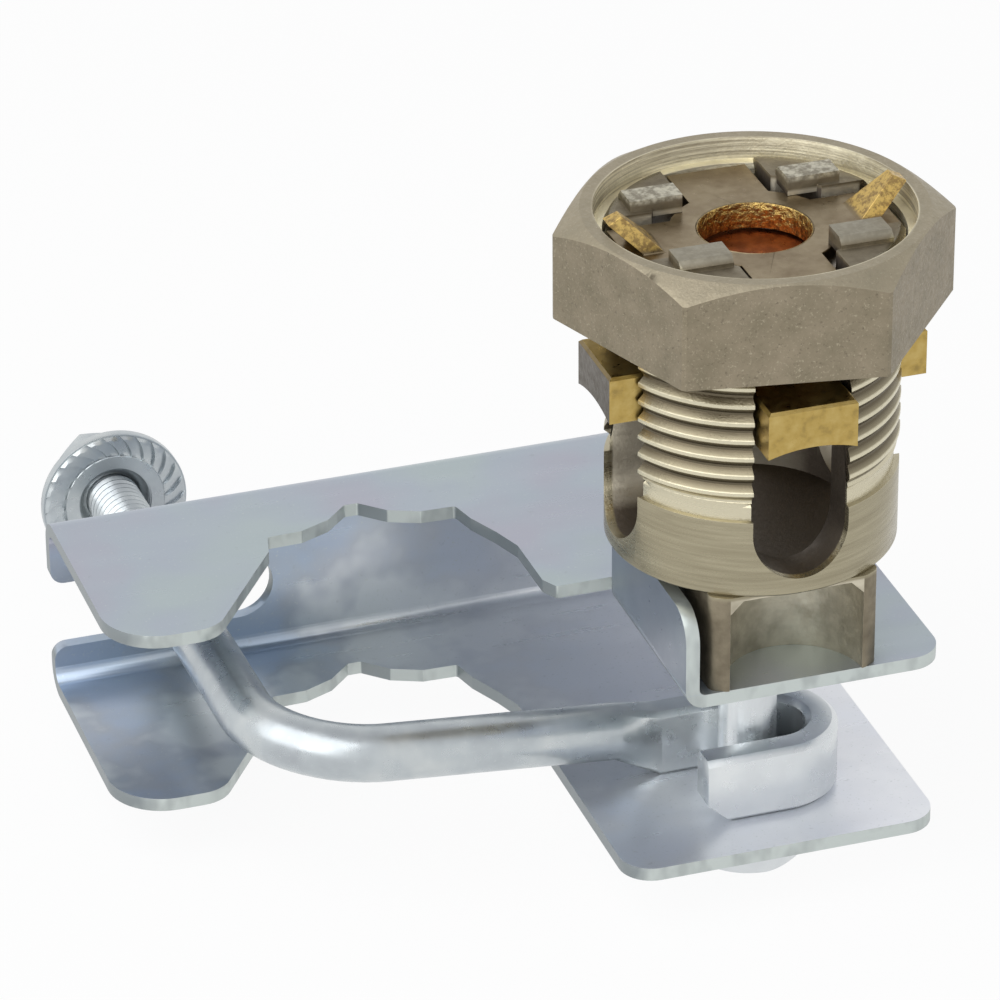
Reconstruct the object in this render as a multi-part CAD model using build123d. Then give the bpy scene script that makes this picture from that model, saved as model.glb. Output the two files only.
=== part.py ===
from build123d import *
import os
from math import radians, sqrt, tan

# A grounding clamp in millimetres. While it is drawn, the pivot axis is x = y = 0, the foot of the
# connector stands on z = 0, X runs along the channel and the back of the channel faces +Y.

# Channel bracket, one folded sheet
SHEET = 1.9
BEND_INSIDE = 1.9
CHANNEL_LEFT = 82.2
CHANNEL_RIGHT = 21.4
CHANNEL_FRONT = 17.4
CHANNEL_BACK = 58.5
CHANNEL_HEIGHT = 27.4
CORNER = 4.5

# Left lobe of both flanges
LOBE_FRONT = 20.6
LOBE_CORNER = 8.0
LOBE_RIGHT = -68.0
LOBE_TIP = 5.0

# Toothed notch in the front edge of both flanges, from its own centre line
NOTCH_CENTRE = -41.25
NOTCH_TEETH = ((0.95, 47.4), (4.3, 44.1), (8.6, 42.25), (13.55, 42.1))
NOTCH_SHOULDER = (14.5, 38.2)
NOTCH_SIDE = ((16.65, 33.2), (18.2, 28.6))
NOTCH_EDGE = 0.5
RIGHT_LOBE = -22.9
STEP_BACK = 18.5
STEP_FRONT = 16.2
STEP_RIGHT = -21.7

# Tab folded up at the left of the connector
TAB_INSIDE = -13.4
TAB_BEND = 0.9
TAB_BACK = 11.8
TAB_TOP = 11.9
TAB_CORNER = 4.5

# Slot in the web round the leg of the hook, open at its left end
SLOT_PLAY = 1.2
SLOT_END = -55.3
SLOT_MOUTH = 2.0
SLOT_SINK = 0.3

# Pivot bolt
BOLT_R = 3.97
BOLT_HOLE_PLAY = 0.4
HEAD_FLATS = 14.3
HEAD_HEIGHT = 8.7
HEAD_FLANGE_R = 9.6
HEAD_TURN = 30.0
BOLT_REACH = 12.0
THREAD_PLAY = 0.05

# Chamfer on the corners of a hexagon, and the flange that carries it
CORNER_SLOPE = 30.0
FLANGE_RIM = 1.5
FLANGE_CONE = 1.3

# Hook bolt: a leg that dips towards its thread, a bend, a sloping arm and a flattened eye
ROD_R = 3.9
LEG_X = -64.85
LEG_DIP = 2.7
LEG_END = 104.0
LEG_CHAMFER = 0.8
BEND_Y = 4.4
BEND_Z = -12.5
HOOK_BEND = 14.75
FLATTEN_FROM = -17.0
ARM_END_Y = 6.6
ARM_END_Z = -18.3
FLATTEN_TO = -6.0
STRIP = 4.4
STRIP_HEIGHT = 10.0
STRIP_EDGE = 0.8
EYE_PLAY = 0.25
EYE_R = 4.95
EYE_RUN = 2.85
EYE_TIP = -9.2
SEAT_PLAY = 0.05

# Flange nut on the leg
NUT_FACE = 88.0
NUT_HEIGHT = 8.7
NUT_FLATS = 14.3
NUT_FLANGE_R = 10.7
NUT_MOUTH_R = 5.3
NUT_TURN = 10.0

# Connector body: foot, barrel, bore, wire slots and the band under the thread
FOOT_WIDTH = 23.4
FOOT_DEPTH = 35.4
FOOT_CORNER_R = 20.1
FOOT_EDGE = 0.4
SCOOP_R = 9.3
SCOOP_ROOF = 0.7
SCOOP_EDGE = 1.8
BARREL_R = 19.45
BARREL_LOW = 14.0
BARREL_EDGE = 0.3
PRONG_WALL = 5.95
WIRE_R = 6.6
WIRE_Z = 22.95
BORE_SINK = 0.35
BAND_LOW = 25.0
BAND_HEIGHT = 3.2
BAND_DEPTH = 1.35
PRONG_TOP = 59.0
PRONG_CHAMFER = 0.5

# Lugs staked over the keeper on the prong tops
LUG_LENGTH = 7.2
LUG_WIDTH = 4.6
LUG_HEIGHT = 1.5
LUG_SET_IN = 0.7
LUG_SLOPE = 0.9

# Hex cap, bored through, with a turned recess in its top
CAP_PLAY = 0.3
CAP_WALL = 3.25
CAP_HEIGHT = 14.04
CAP_RISE = 2.0
CAP_TURN = -10.1
CAP_EDGE = 0.35
RECESS_STEP = 1.25
RECESS_DEPTH = 3.2
RIM_WIDTH = 1.7
RIM_SLOPE = 31.0

# Pressure bar, a cross with one arm in each slot
BAR_DROP = 4.4
BAR_HEIGHT = 6.6
BAR_PROUD = 2.55
BAR_PLAY = 0.5
BAR_ARCH = 0.95
BAR_EDGE = 0.4
HUB_PLAY = 0.3
COLUMN_LAP = 0.6
COLUMN_PLAY = 0.3

# Keeper plate between the prong tops
KEEPER_DROP = 1.1
KEEPER_HEIGHT = 3.7
KEEPER_PLAY = 1.1
KEEPER_LIFT = 0.05
KEEPER_HUB = 11.2
KEEPER_SHY = 1.05
KEEPER_HOLE = 7.4
EAR_WIDTH = 6.0
EAR_RISE = 5.0
EAR_RUN = 6.2
EAR_THICK = 1.9
EAR_PLAY = 0.5

# Sizes that follow from the ones above
LEG_FALL = tan(radians(LEG_DIP))
SLOT_Z = BEND_Z - LEG_FALL * (CHANNEL_BACK - BEND_Y) - SLOT_SINK
SLOT_HALF = ROD_R + SLOT_PLAY
SEAT_Z = -CHANNEL_HEIGHT + SHEET
STRIP_Z = SEAT_Z + SEAT_PLAY + STRIP_HEIGHT / 2
STRIP_Y = BOLT_R + EYE_PLAY + STRIP / 2
EYE_Y = STRIP_Y - EYE_R - STRIP / 2
BORE_R = BARREL_R - PRONG_WALL
BORE_FLOOR = WIRE_Z - WIRE_R - BORE_SINK
BAND_R = BARREL_R - BAND_DEPTH
CAP_BORE_R = BARREL_R + CAP_PLAY
CAP_FLATS = 2 * (CAP_BORE_R + CAP_WALL)
CAP_RIM = PRONG_TOP + CAP_RISE
CAP_UNDER = CAP_RIM - CAP_HEIGHT
RECESS_R = CAP_BORE_R + RECESS_STEP
RIM_R = RECESS_R + RIM_WIDTH
BAR_TOP = CAP_UNDER - BAR_DROP
BAR_UNDER = BAR_TOP - BAR_HEIGHT
BAR_REACH = BARREL_R + BAR_PROUD
BAR_HALF = WIRE_R - BAR_PLAY
KEEPER_TOP = PRONG_TOP - KEEPER_DROP
KEEPER_UNDER = KEEPER_TOP - KEEPER_HEIGHT
KEEPER_REACH = BARREL_R - KEEPER_SHY
KEEPER_WIDTH = 2 * (WIRE_R - KEEPER_PLAY)


def plan_prism(face, low, high):
    """The plan outline made solid between two heights."""
    return extrude(Pos(0, 0, low) * face, high - low)


def hexagon(flats, turn):
    """A hexagon of this size across its flats."""
    return RegularPolygon(flats / sqrt(3), 6, rotation=turn)


def turned(*points):
    """A body of revolution about Z from a half section of (radius, height) points."""
    section = make_face(Plane.XZ * Polyline(*points, close=True))
    return revolve(section, Axis.Z)


def notch_points():
    """Corners of the toothed notch from left to right, each with its corner radius."""
    right = [*NOTCH_TEETH, NOTCH_SHOULDER]
    left = [(-x, y) for x, y in reversed(right)]
    return [(NOTCH_CENTRE + x, y, NOTCH_EDGE) for x, y in (*left, *right, *NOTCH_SIDE)]


def flange_outline(right_lobe):
    """Plan of one flange: left lobe, toothed notch, then the given right lobe."""
    behind = CHANNEL_BACK + SHEET
    corners = [
        (-CHANNEL_LEFT, behind, 0),
        (-CHANNEL_LEFT, LOBE_FRONT, LOBE_CORNER),
        (LOBE_RIGHT, LOBE_FRONT, LOBE_TIP),
        *notch_points(),
        *right_lobe,
        (CHANNEL_RIGHT, -CHANNEL_FRONT, CORNER),
        (CHANNEL_RIGHT, behind, 0),
    ]
    points = [(x, y) for x, y, _ in corners]
    radii = [r for _, _, r in corners]
    return make_face(FilletPolyline(*points, radius=radii, close=True))


def flange_waste(outline, low, high):
    """What is punched away round one flange outline, up to the bend at the back."""
    width = CHANNEL_LEFT + CHANNEL_RIGHT + 2 * CORNER
    depth = CHANNEL_BACK + CHANNEL_FRONT - BEND_INSIDE - SHEET + CORNER
    middle_x = (CHANNEL_RIGHT - CHANNEL_LEFT) / 2
    blank = Pos(middle_x, depth / 2 - CHANNEL_FRONT - CORNER) * Rectangle(width, depth)
    return plan_prism(blank - outline, low, high)


def upturned_tab():
    """The tab beside the connector, folded up from the top flange."""
    x = TAB_INSIDE - SHEET / 2
    root = TAB_INSIDE + TAB_BEND + SHEET
    fold = FilletPolyline((root, -SHEET / 2), (x, -SHEET / 2), (x, TAB_TOP), radius=TAB_BEND + SHEET / 2)
    section = Plane.XZ * trace(fold, SHEET)
    tab = Pos(0, TAB_BACK, 0) * extrude(section, TAB_BACK + CHANNEL_FRONT)
    front_top = tab.edges().filter_by(Axis.X).sort_by(Axis.Z)[-2:].sort_by(Axis.Y)[0]
    return fillet(front_top, TAB_CORNER)


def channel_bracket():
    """One sheet folded into a channel, with a notched front, a slotted web and one tab."""
    middle = SHEET / 2
    fold = FilletPolyline(
        (-CHANNEL_FRONT, -middle),
        (CHANNEL_BACK - middle, -middle),
        (CHANNEL_BACK - middle, middle - CHANNEL_HEIGHT),
        (-CHANNEL_FRONT, middle - CHANNEL_HEIGHT),
        radius=BEND_INSIDE + middle,
    )
    section = Plane.YZ * trace(fold, SHEET)
    sheet = Pos(-CHANNEL_LEFT, 0, 0) * extrude(section, CHANNEL_LEFT + CHANNEL_RIGHT)

    tab_root = TAB_INSIDE + TAB_BEND
    top_lobe = (
        (RIGHT_LOBE, STEP_BACK, NOTCH_EDGE),
        (STEP_RIGHT, STEP_FRONT, NOTCH_EDGE),
        (tab_root, STEP_FRONT, 0),
        (tab_root, -CHANNEL_FRONT, 0),
    )
    bottom_lobe = ((RIGHT_LOBE, -CHANNEL_FRONT, CORNER),)
    sheet -= flange_waste(flange_outline(top_lobe), -CHANNEL_HEIGHT / 2, SHEET)
    sheet -= flange_waste(flange_outline(bottom_lobe), -CHANNEL_HEIGHT - SHEET, -CHANNEL_HEIGHT / 2)
    sheet += upturned_tab()

    run = CHANNEL_LEFT + SLOT_END + SHEET
    slot = Pos(SLOT_END - run / 2, CHANNEL_BACK, SLOT_Z) * Box(run, 4 * SHEET, 2 * SLOT_HALF)
    slot += Pos(SLOT_END, CHANNEL_BACK, SLOT_Z) * Rot(90, 0, 0) * Cylinder(SLOT_HALF, 4 * SHEET)
    sheet -= slot
    mouth = sheet.edges().filter_by(Axis.Y).filter_by(
        lambda e: abs(e.center().X + CHANNEL_LEFT) < 0.01 and abs(abs(e.center().Z - SLOT_Z) - SLOT_HALF) < 0.01
    )
    sheet = fillet(mouth, SLOT_MOUTH)
    return sheet - Pos(0, 0, -CHANNEL_HEIGHT / 2) * Cylinder(BOLT_R + BOLT_HOLE_PLAY, 2 * CHANNEL_HEIGHT)


def leg_point(y):
    """The point of the leg's axis at this distance behind the pivot."""
    return Vector(LEG_X, y, BEND_Z - LEG_FALL * (y - BEND_Y))


def on_leg(y):
    """A plane across the leg at this distance, with its normal towards the threaded end."""
    return Plane(origin=leg_point(y), x_dir=(1, 0, 0), z_dir=(0, 1, -LEG_FALL))


def hook_bolt():
    """One rod: threaded leg, bend, sloping arm, flattened strip and open eye."""
    arm_end = Vector(FLATTEN_FROM, ARM_END_Y, ARM_END_Z)
    corner = leg_point(BEND_Y)
    path = FilletPolyline(leg_point(LEG_END), corner, arm_end, radius=HOOK_BEND)
    rod = sweep(on_leg(LEG_END) * Circle(ROD_R), path)
    rod = chamfer(rod.edges().sort_by(Axis.Y)[-1], LEG_CHAMFER)

    round_end = Plane(origin=arm_end, x_dir=(0, 1, 0), z_dir=arm_end - corner) * Circle(ROD_R)
    flat_plane = Plane(origin=(FLATTEN_TO, STRIP_Y, STRIP_Z), x_dir=(0, 1, 0), z_dir=(1, 0, 0))
    bar = Rectangle(STRIP, STRIP_HEIGHT)
    flat_end = flat_plane * chamfer(bar.vertices(), STRIP_EDGE)
    neck = loft([round_end, flat_end])

    eye_path = Line((FLATTEN_TO, STRIP_Y, STRIP_Z), (EYE_RUN, STRIP_Y, STRIP_Z))
    bend_r = EYE_R + STRIP / 2
    eye_path += Pos(0, 0, STRIP_Z) * CenterArc((EYE_RUN, EYE_Y), bend_r, 90, -180)
    eye_path += Line((EYE_RUN, EYE_Y - bend_r, STRIP_Z), (EYE_TIP, EYE_Y - bend_r, STRIP_Z))
    eye = sweep(flat_end, eye_path)
    return rod + neck + eye


def flanged_hexagon(flats, height, flange_r, turn):
    """A hexagon with chamfered corners on a round flange, drawn along +Z from the flange's face."""
    corner_r = flats / sqrt(3)
    wide = flange_r + corner_r
    hexagonal = plan_prism(hexagon(flats, turn), 0, height) & turned(
        (0, 0),
        (wide, 0),
        (wide, height - (wide - flats / 2) * tan(radians(CORNER_SLOPE))),
        (flats / 2, height),
        (0, height),
    )
    cone_top = FLANGE_RIM + FLANGE_CONE
    flange = turned((0, 0), (flange_r, 0), (flange_r, FLANGE_RIM), (corner_r, cone_top), (0, cone_top))
    return hexagonal + flange


def flange_nut():
    """Hex nut with a wide conical flange and a countersunk mouth, on the leg of the hook."""
    bore_r = ROD_R + THREAD_PLAY
    mouth = NUT_MOUTH_R - bore_r
    bore = turned(
        (0, 0),
        (NUT_MOUTH_R, 0),
        (bore_r, mouth),
        (bore_r, NUT_HEIGHT - mouth / 2),
        (bore_r + mouth / 2, NUT_HEIGHT),
        (0, NUT_HEIGHT),
    )
    nut = flanged_hexagon(NUT_FLATS, NUT_HEIGHT, NUT_FLANGE_R, NUT_TURN) - bore
    return on_leg(NUT_FACE).location * nut


def pivot_bolt():
    """Flanged hex bolt from below, through both flanges and the eye, up into the foot."""
    seat = -CHANNEL_HEIGHT
    head = Pos(0, 0, seat) * Rot(180, 0, 0) * flanged_hexagon(HEAD_FLATS, HEAD_HEIGHT, HEAD_FLANGE_R, HEAD_TURN)
    shank = Pos(0, 0, (seat + BOLT_REACH) / 2) * Cylinder(BOLT_R, BOLT_REACH - seat)
    return head + chamfer(shank.edges().sort_by(Axis.Z)[-1], LEG_CHAMFER)


def wire_slot(turn):
    """A U slot right across the barrel, open to the prong tops."""
    reach = 4 * BARREL_R
    slot = Pos(0, 0, WIRE_Z) * Rot(0, 90, 0) * Cylinder(WIRE_R, reach)
    slot += Pos(0, 0, WIRE_Z + PRONG_TOP / 2) * Box(reach, 2 * WIRE_R, PRONG_TOP)
    return Rot(0, 0, turn) * slot


def prong_lug(side, front):
    """One prong top staked inwards over the keeper, with a sloping upper face."""
    low = KEEPER_TOP + KEEPER_LIFT
    height = PRONG_TOP + LUG_HEIGHT - low
    x = WIRE_R + LUG_SET_IN + LUG_LENGTH / 2
    y = WIRE_R + LUG_SET_IN + LUG_WIDTH / 2
    lug = Pos(side * x, front * y, low + height / 2) * Box(LUG_LENGTH, LUG_WIDTH, height)
    outer = lug.faces().sort_by(Axis.Z)[-1].edges().filter_by(Axis.X).sort_by(Axis.Y)
    return chamfer(outer[-1 if front > 0 else 0], LUG_SLOPE)


def connector_body():
    """Scooped foot and slotted barrel in one casting, with a turned band under its threaded prongs."""
    foot = Pos(0, 0, BARREL_LOW / 2) * Box(FOOT_WIDTH, FOOT_DEPTH, BARREL_LOW)
    foot &= plan_prism(Circle(FOOT_CORNER_R), 0, BARREL_LOW)
    foot = chamfer(foot.edges().filter_by(Axis.Z), FOOT_EDGE)
    scoop_height = BARREL_LOW - SCOOP_ROOF
    scoop = Pos(0, 0, scoop_height / 2) * Cylinder(SCOOP_R, scoop_height)
    scoop = chamfer(scoop.edges().sort_by(Axis.Z)[-1], SCOOP_EDGE)
    for side in (-1, 1):
        foot -= Pos(0, side * FOOT_DEPTH / 2, 0) * scoop

    barrel = turned(
        (0, BARREL_LOW),
        (BARREL_R - BARREL_EDGE, BARREL_LOW),
        (BARREL_R, BARREL_LOW + BARREL_EDGE),
        (BARREL_R, BAND_LOW),
        (BAND_R, BAND_LOW),
        (BAND_R, BAND_LOW + BAND_HEIGHT - BAND_DEPTH),
        (BARREL_R, BAND_LOW + BAND_HEIGHT),
        (BARREL_R, PRONG_TOP - PRONG_CHAMFER),
        (BARREL_R - PRONG_CHAMFER, PRONG_TOP),
        (0, PRONG_TOP),
    )
    barrel -= plan_prism(Circle(BORE_R), BORE_FLOOR, 2 * PRONG_TOP)
    for turn in (0, 90):
        barrel -= wire_slot(turn)
    for side in (-1, 1):
        for front in (-1, 1):
            barrel += prong_lug(side, front)
    return foot + barrel - plan_prism(Circle(BOLT_R + THREAD_PLAY), 0, BOLT_REACH + THREAD_PLAY)


def hex_cap():
    """Through-bored hex nut with a chamfered top and a turned recess round the prong tops."""
    cap = plan_prism(hexagon(CAP_FLATS, CAP_TURN), CAP_UNDER, CAP_RIM)
    cap = chamfer(cap.edges().filter_by(Axis.Z), CAP_EDGE)
    wide = CAP_FLATS
    cap &= turned(
        (0, CAP_UNDER),
        (wide, CAP_UNDER),
        (wide, CAP_RIM - (wide - RIM_R) * tan(radians(RIM_SLOPE))),
        (RIM_R, CAP_RIM),
        (0, CAP_RIM),
    )
    cap -= plan_prism(Circle(CAP_BORE_R), CAP_UNDER - CAP_HEIGHT, CAP_RIM)
    return cap - plan_prism(Circle(RECESS_R), CAP_RIM - RECESS_DEPTH, CAP_RIM + RECESS_DEPTH)


def pressure_bar():
    """Cross with arched arms through the four slots, a hub in the bore and a column on top."""
    arch_r = (BAR_HALF ** 2 + BAR_ARCH ** 2) / (2 * BAR_ARCH)
    arm = Pos(0, 0, BAR_UNDER + BAR_HEIGHT / 2) * Box(2 * BAR_REACH, 2 * BAR_HALF, BAR_HEIGHT)
    arm = chamfer(arm.faces().sort_by(Axis.Z)[-1].edges(), BAR_EDGE)
    arm -= Pos(0, 0, BAR_UNDER + BAR_ARCH - arch_r) * Rot(0, 90, 0) * Cylinder(arch_r, 4 * BAR_REACH)
    hub = plan_prism(Circle(BORE_R - HUB_PLAY), BAR_UNDER + BAR_ARCH, BAR_TOP)
    column = plan_prism(Circle(KEEPER_HOLE + COLUMN_LAP), BAR_TOP, KEEPER_UNDER - COLUMN_PLAY)
    return arm + Rot(0, 0, 90) * arm + hub + column


def keeper_ear():
    """The end of a keeper arm bent up and outwards, past the rim of the cap."""
    tip = RECESS_R - EAR_PLAY
    top = KEEPER_TOP + EAR_RISE
    start = tip - EAR_RUN
    sink = KEEPER_TOP - EAR_THICK / 2
    section = Plane.XZ * make_face(
        Polyline(
            (start - EAR_THICK / 2, sink),
            (start - EAR_THICK / 2, KEEPER_TOP),
            (tip - EAR_THICK, top),
            (tip, top - EAR_THICK / 2),
            (start + EAR_THICK, KEEPER_TOP),
            (start + EAR_THICK, sink),
            close=True,
        )
    )
    return Pos(0, EAR_WIDTH / 2, 0) * extrude(section, EAR_WIDTH)


def keeper_plate():
    """Pierced hub with an arm in each slot and two bent-up ears, held under the prong lugs."""
    plan = Circle(KEEPER_HUB)
    plan += Rectangle(2 * KEEPER_REACH, KEEPER_WIDTH)
    plan += Rectangle(KEEPER_WIDTH, 2 * KEEPER_REACH)
    plan -= Circle(KEEPER_HOLE)
    ear = keeper_ear()
    return plan_prism(plan, KEEPER_UNDER, KEEPER_TOP) + ear + Rot(0, 0, 180) * ear


def main():
    """Draw every piece, move the origin to the middle of the underside and write the files."""
    pieces = {
        "channel_bracket": channel_bracket(),
        "hook_bolt": hook_bolt(),
        "flange_nut": flange_nut(),
        "pivot_bolt": pivot_bolt(),
        "connector_body": connector_body(),
        "hex_cap": hex_cap(),
        "pressure_bar": pressure_bar(),
        "keeper_plate": keeper_plate(),
    }
    box = Compound(list(pieces.values())).bounding_box()
    shift = Pos(-box.center().X, -box.center().Y, -box.min.Z)
    print("pivot axis and foot seat at", shift.position)
    os.makedirs("parts", exist_ok=True)
    for name, piece in pieces.items():
        export_step(shift * piece, f"parts/{name}.step")


main()
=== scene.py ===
import math

import bmesh
import bpy
import numpy as np
from mathutils import Matrix, Vector


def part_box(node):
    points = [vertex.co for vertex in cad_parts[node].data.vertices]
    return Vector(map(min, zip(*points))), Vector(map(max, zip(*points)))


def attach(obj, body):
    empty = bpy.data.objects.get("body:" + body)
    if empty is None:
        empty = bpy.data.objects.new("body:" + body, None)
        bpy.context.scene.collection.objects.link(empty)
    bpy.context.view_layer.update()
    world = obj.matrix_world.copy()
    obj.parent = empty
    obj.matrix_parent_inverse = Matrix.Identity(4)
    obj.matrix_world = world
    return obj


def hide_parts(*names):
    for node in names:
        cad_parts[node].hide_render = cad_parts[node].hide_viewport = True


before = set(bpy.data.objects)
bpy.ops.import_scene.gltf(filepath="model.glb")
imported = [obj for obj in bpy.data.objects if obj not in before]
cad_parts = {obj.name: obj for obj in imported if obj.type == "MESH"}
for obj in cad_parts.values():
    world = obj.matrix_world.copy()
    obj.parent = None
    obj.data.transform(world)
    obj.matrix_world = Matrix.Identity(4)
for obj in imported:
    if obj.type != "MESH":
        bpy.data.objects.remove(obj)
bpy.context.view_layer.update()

# Channel bracket: one blank of bright zinc-plated steel sheet, punched and folded. The plating is
# cold grey and drifts to lavender and to pale green, with handling specks, and its sheared edges
# are paler and rougher than its faces. It is held between the connector and the pivot bolt.
MM = 0.001

# Sizes are in millimetres from the pivot: the upright axis of the connector body, at its foot.
body_low, body_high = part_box("connector_body")
PIVOT = np.array([(body_low[0] + body_high[0]) / 2, (body_low[1] + body_high[1]) / 2, body_low[2]])

SHEET = 1.9
SHEET_HEIGHT = 27.4
SHEET_EDGE = 0.18
WEB_FRONT = 50.0
BEND_HEIGHT = 1.5
INSIDE_FROM = 4.0
BRIGHT_FROM, BRIGHT_TO = -45.0, -5.0
GREY_LAVENDER = (0.425, 0.435, 0.505)
GREY_COLD = (0.415, 0.465, 0.525)
GREY_GREEN = (0.430, 0.495, 0.515)
SHEARED = (0.57, 0.62, 0.60)
SHEARED_DARK = (0.45, 0.49, 0.48)
HANDLING_STAIN_AND_SHADE = (0.27, 0.30, 0.31)
BLUE_REFLECTION = (0.40, 0.49, 0.62)
PALE_REFLECTION = (0.64, 0.69, 0.71)
NEAR_HIGHLIGHT = (0.92, 0.93, 0.97)
TAB_SHADE = (0.20, 0.23, 0.28)
SHEET_METALLIC = 0.75
SHEARED_ROUGH = 0.42
SHARP_ANGLE = math.radians(35)


def add(tree, kind, inputs=None, **settings):
    """A shader node with its settings, and with each input set or linked."""
    made = tree.nodes.new("ShaderNode" + kind)
    for key, value in settings.items():
        setattr(made, key, value)
    for key, value in (inputs or {}).items():
        if isinstance(value, bpy.types.NodeSocket):
            tree.links.new(value, made.inputs[key])
        else:
            made.inputs[key].default_value = value
    return made


def millimetres(tree, stretch=(1, 1, 1)):
    """The piece's own coordinates in millimetres from the pivot, stretched along each axis."""
    coords = add(tree, "TexCoord").outputs["Object"]
    scale = tuple(s / MM for s in stretch)
    start = tuple(-p * s for p, s in zip(PIVOT, scale))
    return add(tree, "Mapping", {"Vector": coords, "Scale": scale, "Location": start}).outputs["Vector"]


def parts(tree, vector):
    """The X, Y and Z of a vector."""
    return add(tree, "SeparateXYZ", {"Vector": vector}).outputs


def spot(tree):
    """The X, Y and Z of a point, in millimetres from the pivot."""
    return parts(tree, millimetres(tree))


def facing(tree):
    """The X, Y and Z of the way that a face looks."""
    return parts(tree, add(tree, "TexCoord").outputs["Normal"])


def reckon(tree, operation, first, second=0.0):
    """One step of arithmetic on two values."""
    return add(tree, "Math", {0: first, 1: second}, operation=operation).outputs["Value"]


def times(tree, first, second):
    """Two values multiplied, which keeps a mask only where both are."""
    return reckon(tree, "MULTIPLY", first, second)


def ramp(tree, factor, *stops):
    """A colour ramp driven by factor, from (position, colour) stops."""
    made = add(tree, "ValToRGB", {"Fac": factor})
    elements = made.color_ramp.elements
    while len(elements) < len(stops):
        elements.new(0.5)
    for element, (position, colour) in zip(elements, stops):
        element.position = position
        element.color = (*colour, 1.0)
    return made.outputs["Color"]


def grade(tree, value, low, high, out_low=0.0, out_high=1.0):
    """value carried from one range to another and held at its ends."""
    made = add(tree, "MapRange", {
        "Value": value, "From Min": low, "From Max": high, "To Min": out_low, "To Max": out_high,
    })
    return made.outputs["Result"]


def noise(tree, per_mm, stretch=(1, 1, 1), detail=3.0, roughness=0.55):
    """Noise on the piece's own millimetres, with about per_mm grains to a millimetre."""
    made = add(tree, "TexNoise", {
        "Vector": millimetres(tree, stretch), "Scale": per_mm, "Detail": detail, "Roughness": roughness,
    })
    return made.outputs["Fac"]


def blend_colours(tree, factor, first, second):
    """Two colours mixed by a factor."""
    made = add(tree, "Mix", data_type="RGBA")
    for key, value in ((0, factor), (6, first), (7, second)):
        if isinstance(value, bpy.types.NodeSocket):
            tree.links.new(value, made.inputs[key])
        else:
            made.inputs[key].default_value = value if key == 0 else (*value, 1.0)
    return made.outputs[2]


def bump(tree, height, strength, distance_mm, normal=None):
    """The surface normal tilted by a height pattern."""
    inputs = {"Height": height, "Strength": strength, "Distance": distance_mm * MM}
    if normal is not None:
        inputs["Normal"] = normal
    return add(tree, "Bump", inputs).outputs["Normal"]


def metal(name, colour_of, rough_of, normal_of, metallic=1.0):
    """A metal whose colour, roughness and normal each come from a function of the node tree."""
    material = bpy.data.materials.new(name)
    material.use_nodes = True
    tree = material.node_tree
    shader = tree.nodes["Principled BSDF"]
    shader.inputs["Metallic"].default_value = metallic
    tree.links.new(colour_of(tree), shader.inputs["Base Color"])
    tree.links.new(rough_of(tree), shader.inputs["Roughness"])
    tree.links.new(normal_of(tree), shader.inputs["Normal"])
    return material


def finished(piece, material):
    """Gives a piece this material alone."""
    piece.data.materials.clear()
    piece.data.materials.append(material)


def rounded(piece, edge_mm):
    """Joins the loose triangles of a piece and rounds its sharp edges."""
    weld = piece.modifiers.new("weld", "WELD")
    weld.merge_threshold = 1e-6
    bevel = piece.modifiers.new("bevel", "BEVEL")
    bevel.width = edge_mm * MM
    bevel.segments = 2
    bevel.limit_method = "ANGLE"
    bevel.angle_limit = SHARP_ANGLE
    bevel.harden_normals = True


def dress(node, material, edge_mm):
    """Gives a carried-over node its material and its rounded edges."""
    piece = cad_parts[node]
    finished(piece, material)
    rounded(piece, edge_mm)


def sheared_edges(tree):
    """One on the sheet's cut edges and none on its faces, from height and the way a face looks.

    A flange's edge is an upright face within the thickness of a flange. The web's edges look
    sideways at the back, and the tab's edges look any way but sideways above the flange."""
    at = spot(tree)
    way = facing(tree)
    upright = grade(tree, reckon(tree, "ABSOLUTE", way["Z"]), 0.5, 0.35)
    sideways = reckon(tree, "ABSOLUTE", way["X"])
    top = times(
        tree, grade(tree, at["Z"], -SHEET - 0.3, -SHEET), grade(tree, at["Z"], 0.3, 0.05),
    )
    bottom = grade(tree, at["Z"], SHEET - SHEET_HEIGHT + 0.3, SHEET - SHEET_HEIGHT)
    flanges = times(tree, upright, reckon(tree, "MAXIMUM", top, bottom))
    web = times(
        tree, grade(tree, at["Y"], WEB_FRONT, WEB_FRONT + 1), grade(tree, sideways, 0.7, 0.9),
    )
    tab = times(tree, grade(tree, at["Z"], 0.05, 0.3), grade(tree, sideways, 0.6, 0.4))
    return reckon(tree, "MAXIMUM", flanges, reckon(tree, "MAXIMUM", web, tab))


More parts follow.
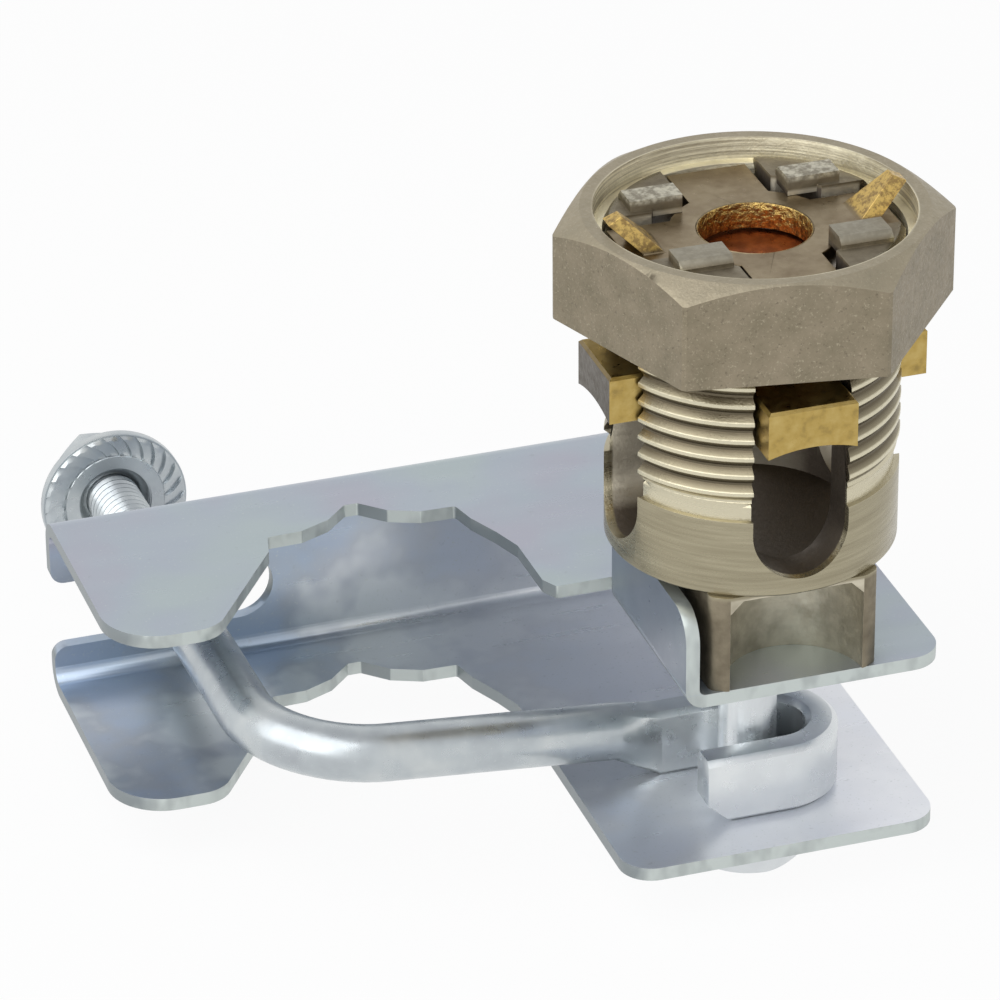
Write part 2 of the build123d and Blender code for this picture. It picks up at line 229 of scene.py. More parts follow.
def sheet_colour(tree):
    """Drifting greys, with blotches of painted blue and pale reflection under the top flange and a
    painted highlight there towards the pivot, with specks and stains. The left side of the tab and
    the cut edges that look left get painted shade."""
    at = spot(tree)
    left = facing(tree)["X"]
    drift = ramp(
        tree, noise(tree, 0.045, detail=2.0),
        (0.36, GREY_LAVENDER), (0.5, GREY_COLD), (0.62, GREY_GREEN),
    )
    # Painted reflections: blue and pale blotches on the sheet below the top flange.
    painted_reflections = ramp(
        tree, noise(tree, 0.07, detail=3.0),
        (0.40, BLUE_REFLECTION), (0.52, GREY_COLD), (0.62, PALE_REFLECTION),
    )
    below = grade(tree, at["Z"], -SHEET - BEND_HEIGHT, -SHEET - INSIDE_FROM)
    drift = blend_colours(tree, times(tree, below, 0.75), drift, painted_reflections)
    # Painted highlight: near white on the lower sheet towards the pivot.
    pivot_highlight = times(tree, below, grade(tree, at["X"], BRIGHT_FROM, BRIGHT_TO))
    drift = blend_colours(tree, times(tree, pivot_highlight, 0.8), drift, NEAR_HIGHLIGHT)
    specks = grade(tree, noise(tree, 2.2, detail=2.0), 0.64, 0.74)
    flecked = blend_colours(tree, times(tree, specks, 0.5), drift, SHEARED)
    stains = grade(tree, noise(tree, 0.9, detail=4.0), 0.36, 0.28)
    handled = blend_colours(tree, times(tree, stains, 0.2), flecked, HANDLING_STAIN_AND_SHADE)
    tab_side = times(tree, grade(tree, at["Z"], 0.1, 1.0), grade(tree, left, -0.6, -0.9))
    shaded = blend_colours(tree, times(tree, tab_side, 0.8), handled, TAB_SHADE)
    cut = ramp(tree, noise(tree, 0.3, (1, 1, 0.5), 2.0), (0.36, SHEARED_DARK), (0.52, SHEARED))
    # Painted shade on the cut edges that look left, in the stains' colour.
    left_cut_shade = blend_colours(tree, grade(tree, left, -0.3, -0.7), cut, HANDLING_STAIN_AND_SHADE)
    return blend_colours(tree, sheared_edges(tree), shaded, left_cut_shade)


def sheet_rough(tree):
    """A faint rolled grain along the channel, and rougher cut edges."""
    grain = grade(tree, noise(tree, 0.5, (0.1, 1, 1), 4.0), 0.3, 0.7, 0.27, 0.32)
    return reckon(tree, "MAXIMUM", grain, times(tree, sheared_edges(tree), SHEARED_ROUGH))


def sheet_normal(tree):
    """Shallow waves across the sheet, under a fine grain."""
    waves = bump(tree, noise(tree, 0.09, (0.5, 1, 1), 1.0), 0.4, 0.8)
    return bump(tree, noise(tree, 1.6, (0.3, 1, 1), 3.0), 0.015, 0.03, waves)


zinc_sheet = metal("zinc_sheet", sheet_colour, sheet_rough, sheet_normal, SHEET_METALLIC)
dress("channel_bracket", zinc_sheet, SHEET_EDGE)


# Hook bolt: one drawn steel rod, bent round to an eye and flattened there, and plated like the
# sheet. A coarse thread is rolled on the leg that takes the nut, with its crest at the rod's size.
# The eye is held on the pivot bolt, between the two flanges, and swings on it.
ROD_R = 3.9
LEG_X, LEG_Y, LEG_Z = -64.85, 4.4, -12.5
LEG_DIP = math.radians(2.7)
LEG_ALONG = np.array([0.0, math.cos(LEG_DIP), -math.sin(LEG_DIP)])
ROD_PITCH = 1.411
ROD_DEPTH = 0.5
ROD_THREAD = (42.0, 101.5)
ROD_SIDES = 28
ROD_EDGE = 0.15
FLATTEN_FROM, FLATTEN_TO, FLATTENED_AT = -17.0, -6.0, -10.6
EYE_TIP, EYE_TIP_Y, EYE_FOOT = -9.2, -7.9, -25.2
TIP_RUN, TIP_RISE = 3.4, 3.0
TIP_REACH = 4.0
TIP_CLEAR = 2.0
JOIN_GAP = 0.002
EYE_BRIGHT_FROM, EYE_BRIGHT_TO = -14.0, -8.0
ZINC = (0.50, 0.54, 0.56)
ZINC_PALE = (0.62, 0.65, 0.65)
ZINC_DULL = (0.42, 0.45, 0.475)
ZINC_HIGHLIGHT = (0.93, 0.95, 0.96)
ZINC_METALLIC = 0.85
CREASE_ANGLE = math.radians(30)


def place(x, y, z):
    """Millimetres from the pivot, as metres in the frame."""
    return tuple(float(p) for p in PIVOT + np.array([x, y, z]) * MM)


def stood(name, data):
    """A new object of a mesh, lamp or camera, put into the scene."""
    made = bpy.data.objects.new(name, data)
    bpy.context.scene.collection.objects.link(made)
    return made


def reshaped(mesh, move):
    """The mesh with its points moved by a function from and to rows of millimetres from the pivot."""
    points = np.empty(len(mesh.vertices) * 3, np.float32)
    mesh.vertices.foreach_get("co", points)
    local = move((points.reshape(-1, 3).astype(float) - PIVOT) / MM)
    mesh.vertices.foreach_set("co", (PIVOT + local * MM).astype(np.float32).ravel())
    mesh.update()
    return mesh


def creased(mesh):
    """Smooth shading with creases at the mesh's sharp edges."""
    mesh.shade_smooth()
    mesh.set_sharp_from_angle(angle=CREASE_ANGLE)


def thread_cutter(name, start, along, crest, depth, pitch, reach, sides, width=7 / 8):
    """A closed bar of vee section wound on a right-hand helix.

    For turn t and section point (r, h), a point lies r from the axis at the angle t, and
    t * pitch / full turn + h along it. The section is the vee from its root to the crest, with a
    straight part outside the crest, so that two turns never touch. width is its share of a pitch."""
    half = pitch * width / 2
    root = pitch / 16
    outside = crest + 0.35 * pitch
    section = np.array([
        (crest - depth, -root), (crest, -half), (outside, -half),
        (outside, half), (crest, half), (crest - depth, root),
    ])
    count = int(round((reach[1] - reach[0]) / pitch * sides)) + 1
    turn = np.arange(count) * 2 * np.pi / sides
    axis = np.array(along) / np.linalg.norm(along)
    side = np.cross(axis, (1.0, 0.0, 0.0) if abs(axis[0]) < 0.5 else (0.0, 1.0, 0.0))
    side /= np.linalg.norm(side)
    other = np.cross(axis, side)
    ring = np.cos(turn)[:, None] * side + np.sin(turn)[:, None] * other
    climb = reach[0] + turn * pitch / (2 * np.pi)
    points = np.array(start) + section[None, :, :1] * ring[:, None, :]
    points = points + (climb[:, None] + section[None, :, 1])[:, :, None] * axis
    points = (PIVOT + points * MM).reshape(-1, 3)
    wide = len(section)
    here = np.arange(count - 1)[:, None] * wide + np.arange(wide)[None, :]
    beside = np.arange(count - 1)[:, None] * wide + (np.arange(wide)[None, :] + 1) % wide
    quads = np.stack([here, here + wide, beside + wide, beside], axis=-1).reshape(-1, 4)
    ends = [list(range(wide)), list(range(wide * count - 1, wide * count - wide - 1, -1))]
    mesh = bpy.data.meshes.new(name)
    mesh.from_pydata(points.tolist(), [], quads.tolist() + ends)
    mesh.validate()
    return mesh


def facing_out(mesh):
    """Turns every face of a closed mesh outwards."""
    made = bmesh.new()
    made.from_mesh(mesh)
    bmesh.ops.recalc_face_normals(made, faces=made.faces)
    made.to_mesh(mesh)
    made.free()


def joined(mesh, gap_mm):
    """Joins the points of a cut mesh that lie closer than gap_mm, and drops the faces this empties."""
    made = bmesh.new()
    made.from_mesh(mesh)
    bmesh.ops.remove_doubles(made, verts=made.verts, dist=gap_mm * MM)
    bmesh.ops.dissolve_degenerate(made, edges=made.edges, dist=gap_mm * MM)
    made.to_mesh(mesh)
    made.free()


def threaded(node, mesh, cutters, edge_mm):
    """A merged copy of a node with its edges rounded and the cutters taken off, as one new mesh."""
    blank = stood(node + "_blank", mesh)
    rounded(blank, edge_mm)
    blank.modifiers["bevel"].harden_normals = False
    helpers = [blank]
    for cutter_mesh in cutters:
        facing_out(cutter_mesh)
        cutter = stood(cutter_mesh.name, cutter_mesh)
        helpers.append(cutter)
        cut = blank.modifiers.new(cutter_mesh.name, "BOOLEAN")
        cut.operation = "DIFFERENCE"
        cut.solver = "EXACT"
        cut.object = cutter
    bpy.context.view_layer.update()
    graph = bpy.context.evaluated_depsgraph_get()
    mesh = bpy.data.meshes.new_from_object(blank.evaluated_get(graph), depsgraph=graph)
    for helper in helpers:
        bpy.data.objects.remove(helper)
    if "custom_normal" in mesh.attributes:
        mesh.attributes.remove(mesh.attributes["custom_normal"])
    joined(mesh, JOIN_GAP)
    creased(mesh)
    return stood(node + "_threaded", mesh)


def flattened_sooner(local):
    """The hook's points with its neck shortened: between the round rod and the flat strip, x runs
    evenly from FLATTEN_FROM to FLATTENED_AT instead of to FLATTEN_TO, behind the pivot only."""
    x = local[:, 0]
    neck = (x > FLATTEN_FROM) & (x < FLATTEN_TO + 0.01) & (local[:, 1] > 0)
    share = (FLATTENED_AT - FLATTEN_FROM) / (FLATTEN_TO - FLATTEN_FROM)
    local[:, 0] = np.where(neck, FLATTEN_FROM + (x - FLATTEN_FROM) * share, x)
    return local


def tip_cutter(name):
    """A five-sided bar across the strip's free end, which takes off its lower corner."""
    low, high = EYE_TIP_Y - TIP_REACH, EYE_TIP_Y + TIP_REACH
    corner = np.array([
        (EYE_TIP - TIP_CLEAR, EYE_FOOT - TIP_CLEAR),
        (EYE_TIP + TIP_RUN + TIP_CLEAR, EYE_FOOT - TIP_CLEAR),
        (EYE_TIP + TIP_RUN, EYE_FOOT), (EYE_TIP, EYE_FOOT + TIP_RISE),
        (EYE_TIP - TIP_CLEAR, EYE_FOOT + TIP_RISE + TIP_CLEAR),
    ])
    points = [place(x, y, z) for y in (low, high) for x, z in corner]
    wide = len(corner)
    sides = [(i, (i + 1) % wide, wide + (i + 1) % wide, wide + i) for i in range(wide)]
    ends = [tuple(range(wide)), tuple(range(2 * wide - 1, wide - 1, -1))]
    mesh = bpy.data.meshes.new(name)
    mesh.from_pydata(points, [], sides + ends)
    return mesh


def rod_colour(tree):
    """Cold grey that drifts, with pale specks, and a painted highlight round the pivot."""
    drift = noise(tree, 0.12, detail=3.0)
    plated = ramp(tree, drift, (0.3, ZINC_DULL), (0.5, ZINC), (0.72, ZINC_PALE))
    specks = grade(tree, noise(tree, 2.0, detail=2.0), 0.64, 0.74)
    flecked = blend_colours(tree, times(tree, specks, 0.4), plated, ZINC_PALE)
    # Painted highlight towards the pivot, on the eye and on the whole pivot bolt.
    highlight_round_pivot = grade(tree, spot(tree)["X"], EYE_BRIGHT_FROM, EYE_BRIGHT_TO, 0.0, 0.45)
    return blend_colours(tree, highlight_round_pivot, flecked, ZINC_HIGHLIGHT)


def rod_rough(tree):
    return grade(tree, noise(tree, 0.4, detail=4.0), 0.3, 0.7, 0.24, 0.38)


def rod_normal(tree):
    return bump(tree, noise(tree, 0.7, detail=3.0), 0.12, 0.12)


zinc_rod = metal("zinc_rod", rod_colour, rod_rough, rod_normal, ZINC_METALLIC)
rod_thread = thread_cutter(
    "rod_thread", (LEG_X, LEG_Y, LEG_Z), LEG_ALONG,
    ROD_R, ROD_DEPTH, ROD_PITCH, ROD_THREAD, ROD_SIDES,
)
hook_mesh = reshaped(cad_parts["hook_bolt"].data.copy(), flattened_sooner)
hook = threaded("hook_bolt", hook_mesh, [tip_cutter("tip"), rod_thread], ROD_EDGE)
finished(hook, zinc_rod)
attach(hook, "hook")
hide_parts("hook_bolt")


# Flange nut: plated steel hex nut with a wide flange, run on to the leg by hand. The flange's face
# bites with a ring of curved, slanted teeth round a plain raised collar, pressed in when the nut
# is made.
NUT_FACE = 88.0
NUT_EDGE = 0.2
COLLAR_R = 5.45
COLLAR_RISE = 0.3
COLLAR_ROWS = 4
TEETH_FROM = 7.3
FLANGE_R = 10.45
TEETH = 26
TOOTH_COLUMNS = 12
TOOTH_ROWS = 9
TOOTH_BASE = 0.12
TOOTH_RISE = 0.5
TOOTH_SWEEP = 1.1
TOOTH_CURVE = 1.4
TOOTH_FADE_IN, TOOTH_FADE_OUT = 0.12, 0.10
RING_SUNK = 0.1


def serrated_face(name):
    """The toothed face of the flange, as a closed ring of sections round the leg's axis.

    Each section goes out over the collar and the teeth to the rim, then back underneath. The
    tooth height is a saw wave of the section's number, and each section is swept round by
    TOOTH_SWEEP teeth as it goes out, so the teeth curve. It fades at the collar and the rim."""
    columns = TEETH * TOOTH_COLUMNS
    collar = np.linspace(COLLAR_R, TEETH_FROM, COLLAR_ROWS)
    radius = np.concatenate([collar, np.linspace(TEETH_FROM + 0.1, FLANGE_R, TOOTH_ROWS)])
    angle = np.arange(columns) * 2 * np.pi / columns
    out = np.clip((radius - TEETH_FROM) / (FLANGE_R - TEETH_FROM), 0, 1)
    saw = (np.arange(columns)[None, :] / TOOTH_COLUMNS) % 1.0
    swept = out ** TOOTH_CURVE * TOOTH_SWEEP * 2 * np.pi / TEETH
    window = np.minimum(1.0, np.minimum(out / TOOTH_FADE_IN, (1 - out) / TOOTH_FADE_OUT))
    teeth_height = TOOTH_BASE + TOOTH_RISE * saw * window[:, None]
    height = np.where(radius[:, None] <= TEETH_FROM, COLLAR_RISE, teeth_height)
    under = np.full((1, columns), -RING_SUNK)
    heights = np.concatenate([under, height, under])
    radii = np.concatenate([radius[:1], radius, radius[-1:]])
    angles = angle[None, :] + np.concatenate([swept[:1], swept, swept[-1:]])[:, None]
    across = np.array([1.0, 0.0, 0.0])
    upward = np.cross(across, LEG_ALONG)
    middle = np.array([LEG_X, LEG_Y, LEG_Z]) + LEG_ALONG * (NUT_FACE - LEG_Y) / math.cos(LEG_DIP)
    top_painted_light = np.cos(angles)[:, :, None] * across + np.sin(angles)[:, :, None] * upward
    points = middle + radii[:, None, None] * top_painted_light - heights[:, :, None] * LEG_ALONG
    ring = np.arange(len(radii))
    here = ring[:, None] * columns + np.arange(columns)[None, :]
    beside = ring[:, None] * columns + (np.arange(columns)[None, :] + 1) % columns
    above = np.roll(here, -1, axis=0)
    above_beside = np.roll(beside, -1, axis=0)
    quads = np.stack([here, beside, above_beside, above], axis=-1).reshape(-1, 4)
    mesh = bpy.data.meshes.new(name)
    mesh.from_pydata((PIVOT + points.reshape(-1, 3) * MM).tolist(), [], quads.tolist())
    facing_out(mesh)
    creased(mesh)
    return mesh


zinc_nut = metal("zinc_nut", rod_colour, rod_rough, rod_normal, ZINC_METALLIC)
dress("flange_nut", zinc_nut, NUT_EDGE)
teeth = stood("nut_teeth", serrated_face("nut_teeth"))
finished(teeth, zinc_nut)
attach(teeth, "nut")


# Pivot bolt: steel hex bolt with a flanged head, forged and plated like the rod. It is put in from
# below through both flanges and the rod's eye, and screws into the foot of the connector body.
BOLT_EDGE = 0.2
# The rod's colour gives this bolt the painted highlight round the pivot.
zinc_bolt = metal("zinc_bolt", rod_colour, rod_rough, rod_normal, ZINC_METALLIC)
dress("pivot_bolt", zinc_bolt, BOLT_EDGE)


# Connector body: bronze casting. Its foot is left as cast, its barrel is turned, and a coarse
# thread for the cap is cut on the four prongs, whose tops are staked over to hold the keeper.
BARREL_R = 19.45
FOOT_TOP = 14.0
BODY_EDGE = 0.15
POST_PITCH = 2.54
POST_DEPTH = 0.7
POST_VEE = 0.82
POST_SIDES = 80
POST_THREAD = (26.7, 62.5)
THREAD_ROOT_R = 18.75
THREAD_LOW, THREAD_TOP = 28.0, 59.3
RELIEF = (24.9, 28.3)
RELIEF_R = 18.7
RELIEF_CUT_R = 18.1
SLOT_WALL = 6.7
SLOT_TOP = 58.8
SCOOP_HALF = 9.25
STAKE_FROM = 59.15
BRONZE_METALLIC = 0.85
CAST_DULL = (0.25, 0.215, 0.152)
CAST_DEEP = (0.165, 0.138, 0.095)
SCOOP_PALE = (0.62, 0.57, 0.45)
SCOOP_DULL = (0.42, 0.38, 0.29)
SLOT_SHADE = (0.12, 0.10, 0.08)
FAR_WALL_HIGHLIGHT = (0.62, 0.57, 0.46)
TURNED = (0.29, 0.255, 0.172)
TURNED_PALE = (0.40, 0.36, 0.25)
ROOT_SHADE = (0.13, 0.108, 0.07)
CREST_HIGHLIGHT = (0.66, 0.61, 0.45)
RELIEF_HIGHLIGHT = (0.62, 0.57, 0.42)
STAKED = (0.62, 0.59, 0.48)
STAKED_DULL = (0.29, 0.265, 0.205)


def spread(tree):
    """Distance from the pivot axis in millimetres."""
    return add(tree, "VectorMath", {0: millimetres(tree, (1, 1, 0))}, operation="LENGTH").outputs["Value"]


def turned_skin(tree):
    """One on the turned outside of the barrel and none on the cast faces within it."""
    outside = grade(tree, spread(tree), BARREL_R - 1.3, BARREL_R - 1.0)
    return times(tree, outside, grade(tree, spot(tree)["Z"], FOOT_TOP - 0.6, FOOT_TOP - 0.2))


def cast_faces(tree):
    """Brown casting skin, paler in the two scoops, with painted shade in the slots and a painted
    highlight on their far walls.
    """
    at = spot(tree)
    cast = ramp(tree, noise(tree, 0.35, detail=4.0), (0.3, CAST_DEEP), (0.62, CAST_DULL))
    off_middle = reckon(tree, "ABSOLUTE", at["X"])
    scoops = times(
        tree, grade(tree, at["Z"], FOOT_TOP, FOOT_TOP - 0.5),
        grade(tree, off_middle, SCOOP_HALF + 0.1, SCOOP_HALF),
    )
    pale = ramp(tree, noise(tree, 0.25, detail=3.0), (0.35, SCOOP_DULL), (0.6, SCOOP_PALE))
    scooped = blend_colours(tree, scoops, cast, pale)
    # Painted shade on the walls of the slots, and a painted highlight on the far walls that face the
    # front.
    far_wall = grade(tree, facing(tree)["Y"], -0.55, -0.95)
    slot_painted_light = blend_colours(tree, far_wall, SLOT_SHADE, FAR_WALL_HIGHLIGHT)
    inner = times(
        tree, grade(tree, at["Z"], FOOT_TOP + 0.5, FOOT_TOP + 1.5),
        grade(tree, at["Z"], SLOT_TOP, SLOT_TOP - 0.4),
    )
    return blend_colours(tree, inner, scooped, slot_painted_light)


def turned_faces(tree):
    """Lathe rings on the barrel, painted shade in the thread's roots and a painted highlight on its
    crests, and a painted highlight in the relief groove.
    """
    at = spot(tree)
    rings = noise(tree, 0.5, (0.15, 0.15, 3.0), 4.0)
    lathe = ramp(tree, rings, (0.32, TURNED), (0.7, TURNED_PALE))
    height = grade(tree, spread(tree), THREAD_ROOT_R, BARREL_R)
    # Painted shade in the thread's roots and a painted highlight on its crests.
    vee = ramp(tree, height, (0.15, ROOT_SHADE), (0.8, TURNED), (0.97, CREST_HIGHLIGHT))
    cut_thread = times(
        tree, grade(tree, at["Z"], THREAD_LOW, THREAD_LOW + 0.4),
        grade(tree, at["Z"], THREAD_TOP, THREAD_TOP - 0.4),
    )
    lathe = blend_colours(tree, cut_thread, lathe, vee)
    # Painted highlight in the relief groove.
    relief = times(
        tree, grade(tree, at["Z"], RELIEF[0], RELIEF[0] + 0.2),
        grade(tree, at["Z"], RELIEF[1], RELIEF[1] - 0.2),
    )
    return blend_colours(tree, relief, lathe, RELIEF_HIGHLIGHT)


def body_colour(tree):
    """Cast and turned faces, with crushed bright tops that are duller on the front prongs."""
    at = spot(tree)
    skin = blend_colours(tree, turned_skin(tree), cast_faces(tree), turned_faces(tree))
    crushed = ramp(tree, noise(tree, 1.1, detail=3.0), (0.40, STAKED_DULL), (0.62, STAKED))
    rubbed = blend_colours(tree, grade(tree, at["Y"], -4, 4, 0.15, 1.0), STAKED_DULL, crushed)
    staked = times(tree, grade(tree, at["Z"], STAKE_FROM + 0.5, STAKE_FROM + 1.0), 0.9)
    return blend_colours(tree, staked, skin, rubbed)


def body_rough(tree):
    cast = grade(tree, noise(tree, 1.2, detail=4.0), 0.3, 0.7, 0.42, 0.6)
    lathe = grade(tree, noise(tree, 1.0, (0.2, 0.2, 3.0), 4.0), 0.3, 0.7, 0.22, 0.36)
    return add(tree, "Mix", {0: turned_skin(tree), 2: cast, 3: lathe}).outputs[0]


def body_normal(tree):
    grit = bump(tree, noise(tree, 2.4, detail=4.0), 0.35, 0.12)
    return bump(tree, noise(tree, 1.4, (0.12, 0.12, 4.0), 3.0), 0.14, 0.08, grit)


def relief_raised(local):
    """The body's points with its relief groove turned shallower: points at RELIEF_CUT_R between
    the heights of RELIEF move out to RELIEF_R, along their slot's wall where they lie on one."""
    x, y, z = local.T.copy()
    reach = np.hypot(x, y)
    at_floor = (abs(reach - RELIEF_CUT_R) < 0.1) & (z > RELIEF[0]) & (z < RELIEF[1])
    wall_x, wall_y = abs(x) < SLOT_WALL, abs(y) < SLOT_WALL
    straight_out = RELIEF_R / np.maximum(reach, 1.0)
    x_on_wall = np.sign(x) * np.sqrt(np.maximum(RELIEF_R ** 2 - y ** 2, 0))
    y_on_wall = np.sign(y) * np.sqrt(np.maximum(RELIEF_R ** 2 - x ** 2, 0))
    new_x = np.where(wall_x, x, np.where(wall_y, x_on_wall, x * straight_out))
    new_y = np.where(wall_y, y, np.where(wall_x, y_on_wall, y * straight_out))
    local[:, 0] = np.where(at_floor, new_x, x)
    local[:, 1] = np.where(at_floor, new_y, y)
    return local


bronze_body = metal("bronze_body", body_colour, body_rough, body_normal, BRONZE_METALLIC)
post_thread = thread_cutter(
    "post_thread", (0.0, 0.0, 0.0), (0.0, 0.0, 1.0),
    BARREL_R, POST_DEPTH, POST_PITCH, POST_THREAD, POST_SIDES, POST_VEE,
)
post_mesh = reshaped(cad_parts["connector_body"].data.copy(), relief_raised)
post = threaded("connector_body", post_mesh, [post_thread], BODY_EDGE)
finished(post, bronze_body)
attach(post, "base")
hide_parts("connector_body")


# Hex cap: bronze casting, left rough on its six sides, with its recess, rim and bore turned
# bright. It screws down the prongs and pushes the pressure bar before it.
RECESS_R = 21.0
CAP_EDGE = 0.25
CAST = (0.235, 0.202, 0.138)
CAST_PALE = (0.31, 0.262, 0.186)
CAST_BRIGHT = (0.46, 0.41, 0.30)
CAST_PIT = (0.13, 0.105, 0.075)
TURNED_HIGHLIGHT = (1.0, 0.94, 0.72)


def cap_colour(tree):
    """Pitted casting skin with fine painted glints, a painted highlight where it looks up, and turned
    rings in the recess brightened with a painted highlight.
    """
    cast = ramp(tree, noise(tree, 0.25, detail=5.0), (0.3, CAST), (0.68, CAST_PALE))
    pits = grade(tree, noise(tree, 1.9, detail=3.0, roughness=0.7), 0.42, 0.30)
    pitted = blend_colours(tree, times(tree, pits, 0.55), cast, CAST_PIT)
    # Painted glints.
    glints = grade(tree, noise(tree, 2.6, detail=3.0, roughness=0.7), 0.58, 0.70)
    sparkling = blend_colours(tree, times(tree, glints, 0.75), pitted, CAST_BRIGHT)
    # Painted highlight on the faces that look up, the turned rim among them.
    upward = grade(tree, facing(tree)["Z"], 0.2, 0.6, 0.0, 0.45)
    top_painted_light = blend_colours(tree, upward, sparkling, CAST_BRIGHT)
    # Turned rings in the recess, brightened with a painted highlight.
    rings = ramp(tree, noise(tree, 0.6, (0.1, 0.1, 5.0), 3.0), (0.35, CAST_BRIGHT), (0.65, TURNED_HIGHLIGHT))
    inside = grade(tree, spread(tree), RECESS_R + 0.25, RECESS_R - 0.05)
    return blend_colours(tree, inside, top_painted_light, rings)


def cap_rough(tree):
    return grade(tree, noise(tree, 1.6, detail=4.0), 0.3, 0.7, 0.40, 0.58)


def cap_normal(tree):
    return bump(tree, noise(tree, 2.6, detail=4.0), 0.45, 0.13)


bronze_cap = metal("bronze_cap", cap_colour, cap_rough, cap_normal, BRONZE_METALLIC)
dress("hex_cap", bronze_cap, CAP_EDGE)


# Pressure bar: a brass cross carried under the cap, with one arm in each slot. Its arms are sawn
# and bright, with painted shade on the end on the left, and its column shows copper red through
# the hole of the keeper.
BAR_EDGE = 0.15
COLUMN_R = 8.5
COLUMN_FROM, COLUMN_TO = 46.0, 48.0
LEFT_END = -21.0
BRASS = (0.46, 0.325, 0.10)
BRASS_PALE = (0.54, 0.405, 0.15)
BRASS_DULL = (0.33, 0.235, 0.08)
COPPER = (0.22, 0.06, 0.025)
COPPER_PALE = (0.36, 0.11, 0.045)
LEFT_END_SHADE = (0.12, 0.10, 0.075)


def bar_colour(tree):
    """Sawn brass in three tones, painted shade on the left end, and a copper column."""
    at = spot(tree)
    brass = ramp(
        tree, noise(tree, 0.5, detail=4.0),
        (0.3, BRASS_DULL), (0.45, BRASS), (0.7, BRASS_PALE),
    )
    sideways = reckon(tree, "ABSOLUTE", facing(tree)["X"])
    # Painted shade on the end face of the left arm.
    left_end_shaded = times(
        tree, grade(tree, at["X"], LEFT_END, LEFT_END - 0.6), grade(tree, sideways, 0.5, 0.8),
    )
    sawn = blend_colours(tree, left_end_shaded, brass, LEFT_END_SHADE)
    column = times(
        tree, grade(tree, spread(tree), COLUMN_R + 1, COLUMN_R),
        grade(tree, at["Z"], COLUMN_FROM, COLUMN_TO),
    )
    copper = ramp(tree, noise(tree, 0.35, detail=4.0), (0.4, COPPER), (0.6, COPPER_PALE))
    return blend_colours(tree, column, sawn, copper)


def bar_rough(tree):
    return grade(tree, noise(tree, 0.9, detail=4.0), 0.3, 0.7, 0.26, 0.44)


def bar_normal(tree):
    return bump(tree, noise(tree, 1.3, (1, 1, 2), 4.0), 0.25, 0.15)


brass_bar = metal("brass_bar", bar_colour, bar_rough, bar_normal)
dress("pressure_bar", brass_bar, BAR_EDGE)


# Keeper plate: brass pressing let in between the prongs and held by their staked tops. Its face is
# smooth and brown, the wall of its hole is torn and bright, and its two ears are gold.
KEEPER_TOP = 57.9
KEEPER_HOLE = 7.4
KEEPER_EDGE = 0.15
EAR_FROM = 58.2
EAR_RISE = 4.5
EAR_TIP = 0.3
KEEPER_BROWN = (0.20, 0.148, 0.085)
KEEPER_PALE = (0.29, 0.232, 0.145)
GOLD = (0.60, 0.42, 0.14)
GOLD_DULL = (0.30, 0.20, 0.08)


def keeper_colour(tree):
    """Brown face, with gold on the ears and torn gold on the wall of the hole."""
    face = ramp(tree, noise(tree, 0.2, detail=4.0), (0.35, KEEPER_BROWN), (0.65, KEEPER_PALE))
    torn = ramp(tree, noise(tree, 1.3, detail=5.0, roughness=0.7), (0.42, GOLD_DULL), (0.55, GOLD))
    ears = grade(tree, spot(tree)["Z"], KEEPER_TOP + 0.2, KEEPER_TOP + 0.6)
    hole = grade(tree, spread(tree), KEEPER_HOLE + 0.15, KEEPER_HOLE + 0.05)
    return blend_colours(tree, reckon(tree, "MAXIMUM", ears, hole), face, torn)


def keeper_normal(tree):
    hole = grade(tree, spread(tree), KEEPER_HOLE + 0.3, KEEPER_HOLE + 0.1)
    torn = bump(tree, times(tree, noise(tree, 1.1, detail=4.0), hole), 0.9, 0.6)
    return bump(tree, noise(tree, 1.0, detail=3.0), 0.15, 0.1, torn)


def ears_pointed(local):
    """The keeper's points with its two ears narrowed: above the plate, y shrinks evenly with
    height to EAR_TIP of its size, so that each ear ends in a blunt leaf."""
    rise = np.clip((local[:, 2] - EAR_FROM) / EAR_RISE, 0, 1)
    local[:, 1] *= 1 - (1 - EAR_TIP) * rise
    return local


brass_keeper = metal("brass_keeper", keeper_colour, bar_rough, keeper_normal)
keeper_mesh = reshaped(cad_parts["keeper_plate"].data.copy(), ears_pointed)
keeper = stood("keeper_plate_pointed", keeper_mesh)
finished(keeper, brass_keeper)
rounded(keeper, KEEPER_EDGE)
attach(keeper, "base")
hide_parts("keeper_plate")


# Stage: a white paper floor that keeps a faint shadow, plain white surroundings with one large
# soft lamp at the upper left, and the camera at the photograph's angle.
FLOOR_HALF = 3.0
PAPER = (0.85, 0.85, 0.85, 1)
PAPER_ROUGH = 0.9
FLOOR_WHITE = 0.93
ROOM_STOPS = ((0.0, (1.0, 1.0, 1.0)), (0.55, (0.95, 0.95, 0.95)), (0.95, (0.6, 0.6, 0.62)))
ROOM_LIGHT = (0.75, 0.76, 0.78, 1)
ROOM_LIGHT_POWER = 0.7
LAMP_AT = (-480, -260, 560)
LAMP_AIM = (-10, 0, 20)
LAMP_SIZE = 1.0
LAMP_POWER = 5.0
CAMERA_AZIMUTH = -18.131
CAMERA_ELEVATION = 28.737
CAMERA_ROLL = -0.485
CAMERA_DISTANCE = 741.905
CAMERA_TARGET = (-34.174, 2.261, 22.776)
CAMERA_LENS = 204.407


def seen_directly(tree):
    """One for rays from the camera, off metal or through glass, and none for scattered light."""
    path = add(tree, "LightPath")
    gloss = reckon(tree, "ADD", path.outputs["Is Glossy Ray"], path.outputs["Is Transmission Ray"])
    total = reckon(tree, "ADD", path.outputs["Is Camera Ray"], gloss)
    return reckon(tree, "MINIMUM", total, 1.0)


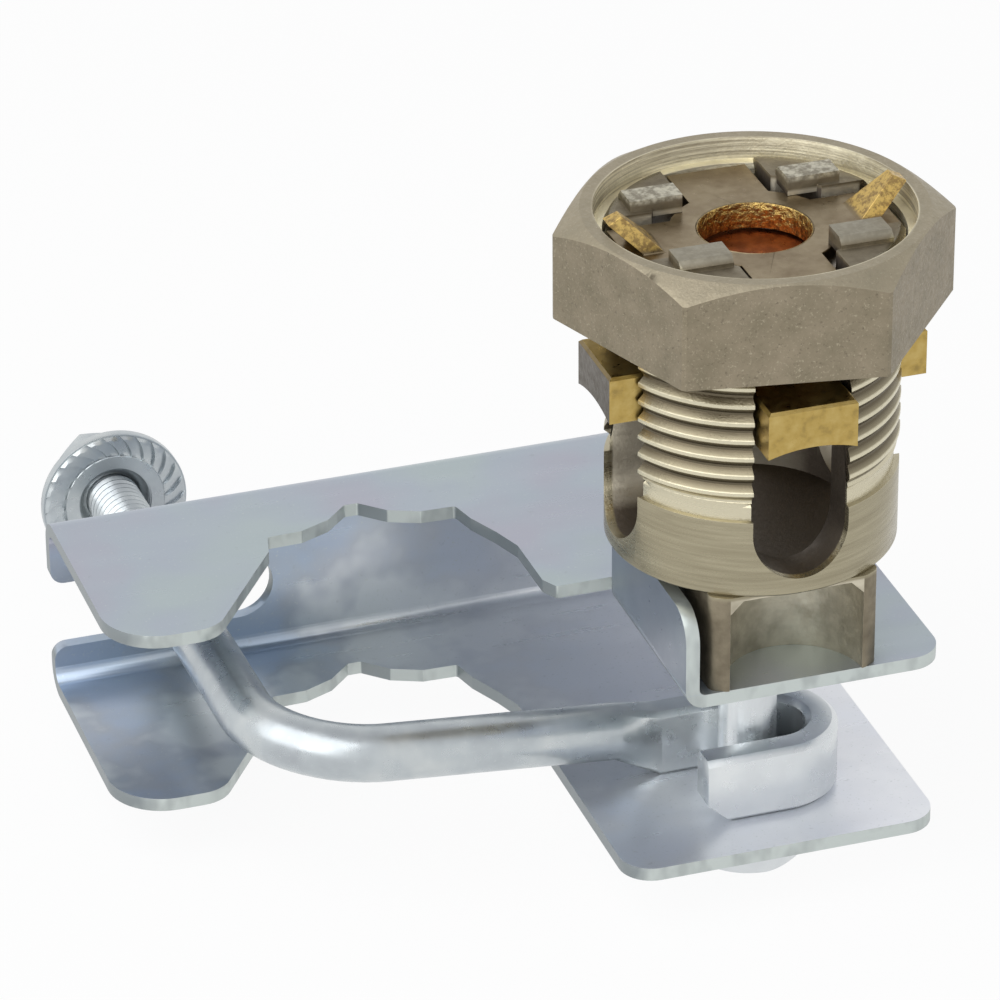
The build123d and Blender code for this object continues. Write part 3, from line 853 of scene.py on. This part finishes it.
def stage_floor():
    """A large white square under the clamp that keeps a faint shadow."""
    half = FLOOR_HALF
    corners = [(-half, -half, 0), (half, -half, 0), (half, half, 0), (-half, half, 0)]
    mesh = bpy.data.meshes.new("floor")
    mesh.from_pydata(corners, [], [(0, 1, 2, 3)])
    floor = stood("floor", mesh)
    material = bpy.data.materials.new("floor_white")
    material.use_nodes = True
    tree = material.node_tree
    paper = tree.nodes["Principled BSDF"]
    paper.inputs["Base Color"].default_value = PAPER
    paper.inputs["Roughness"].default_value = PAPER_ROUGH
    paper.inputs["Specular IOR Level"].default_value = 0.0
    glow = add(tree, "Emission", {"Color": (1, 1, 1, 1), "Strength": 1.0})
    share = times(tree, seen_directly(tree), FLOOR_WHITE)
    mixed = add(tree, "MixShader", {0: share, 1: paper.outputs[0], 2: glow.outputs[0]})
    tree.links.new(mixed.outputs[0], tree.nodes["Material Output"].inputs["Surface"])
    mesh.materials.append(material)


def stage_world():
    """White behind the clamp and in its reflections, and softer for scattered light."""
    world = bpy.data.worlds.new("studio")
    bpy.context.scene.world = world
    world.use_nodes = True
    tree = world.node_tree
    height = parts(tree, add(tree, "TexCoord").outputs["Generated"])["Z"]
    white = add(tree, "Background", {"Color": ramp(tree, height, *ROOM_STOPS), "Strength": 1.0})
    soft = add(tree, "Background", {"Color": ROOM_LIGHT, "Strength": ROOM_LIGHT_POWER})
    mixed = add(tree, "MixShader", {0: seen_directly(tree), 1: soft.outputs[0], 2: white.outputs[0]})
    tree.links.new(mixed.outputs[0], tree.nodes["World Output"].inputs["Surface"])


def stage_lamp():
    """A square soft lamp at LAMP_AT, turned towards LAMP_AIM."""
    data = bpy.data.lights.new("key", "AREA")
    data.size = LAMP_SIZE
    data.energy = LAMP_POWER
    lamp = stood("key", data)
    start = Vector(place(*LAMP_AT))
    lamp.location = start
    lamp.rotation_euler = (Vector(place(*LAMP_AIM)) - start).to_track_quat("-Z", "Y").to_euler()


def stage_camera():
    """The camera on a sphere round its target, at the photograph's angle."""
    turn = math.radians(CAMERA_AZIMUTH)
    tilt = math.radians(CAMERA_ELEVATION)
    back = Vector((math.sin(turn) * math.cos(tilt), -math.cos(turn) * math.cos(tilt), math.sin(tilt)))
    right = Vector((math.cos(turn), math.sin(turn), 0))
    up = back.cross(right)
    roll = math.radians(CAMERA_ROLL)
    rolled_right = right * math.cos(roll) + up * math.sin(roll)
    rolled_up = up * math.cos(roll) - right * math.sin(roll)
    data = bpy.data.cameras.new("camera")
    data.lens = CAMERA_LENS
    data.sensor_width = 36.0
    camera = stood("camera", data)
    spot_at = Vector(place(*CAMERA_TARGET)) + back * CAMERA_DISTANCE * MM
    turned = Matrix((rolled_right, rolled_up, back)).transposed().to_4x4()
    camera.matrix_world = Matrix.Translation(spot_at) @ turned
    bpy.context.scene.camera = camera


stage_floor()
stage_world()
stage_lamp()
stage_camera()
bpy.context.scene.view_settings.view_transform = "Standard"
